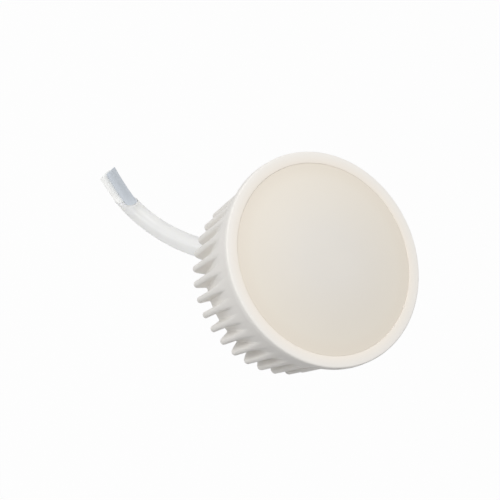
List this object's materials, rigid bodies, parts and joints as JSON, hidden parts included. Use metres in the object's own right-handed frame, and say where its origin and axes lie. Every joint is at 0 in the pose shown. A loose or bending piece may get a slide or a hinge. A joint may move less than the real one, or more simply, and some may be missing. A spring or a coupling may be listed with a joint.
{
  "type": "led module",
  "caption": "Round white LED module with an opal domed front, a finned housing and a short two-core lead, made to sit in a recessed spotlight ring.",
  "frame": {"origin": "on the module's axis, halfway through the thickness of the front rim", "axes": "+Z along the axis, the way the light leaves; the lead bends away towards -X; +Y completes the right-handed frame"},
  "size_m": [0.0683, 0.05, 0.0517],
  "materials": {
    "white_housing": "fine matt moulded white",
    "opal": "frosted opal, warm white",
    "aluminium": "pressed, plain",
    "thermal_pad": "soft matt",
    "board_white": "white solder resist",
    "led_frame": "moulded white",
    "phosphor": "clear soft fill with yellow powder",
    "steel": "zinc plated",
    "solder": "bright tin",
    "brass": "plain",
    "liner": "moulded, plain",
    "circuit_board": "green solder resist",
    "can_sleeve": "shrunk sleeve",
    "film_box": "cast yellow box",
    "ferrite": "sintered dark grey",
    "copper": "lacquered wire",
    "chip_black": "moulded black",
    "resistor": "flame-proof coating",
    "cord_white": "soft extruded white",
    "core_grey": "soft extruded blue-grey"
  },
  "bodies": {
    "root": {"housing": "white_housing", "diffuser": "opal", "heat_spreader": "aluminium", "thermal_pad": "thermal_pad", "led_board": "board_white", "led_frames": "led_frame", "led_phosphors": "phosphor", "board_screws": "steel", "solder_joints": "solder", "link_pins": "brass", "insulating_liner": "liner", "driver_board": "circuit_board", "electrolytic_capacitor": "can_sleeve", "film_capacitor": "film_box", "inductor_core": "ferrite", "inductor_winding": "copper", "bridge_rectifier": "chip_black", "fusible_resistor": "resistor", "driver_ic": "chip_black", "chip_parts": "chip_black", "cord_bushing": "cord_white", "inner_leads": "cord_white", "cord_sheath": "cord_white", "core_white": "cord_white", "core_grey": "core_grey"}
  },
  "joints": []
}
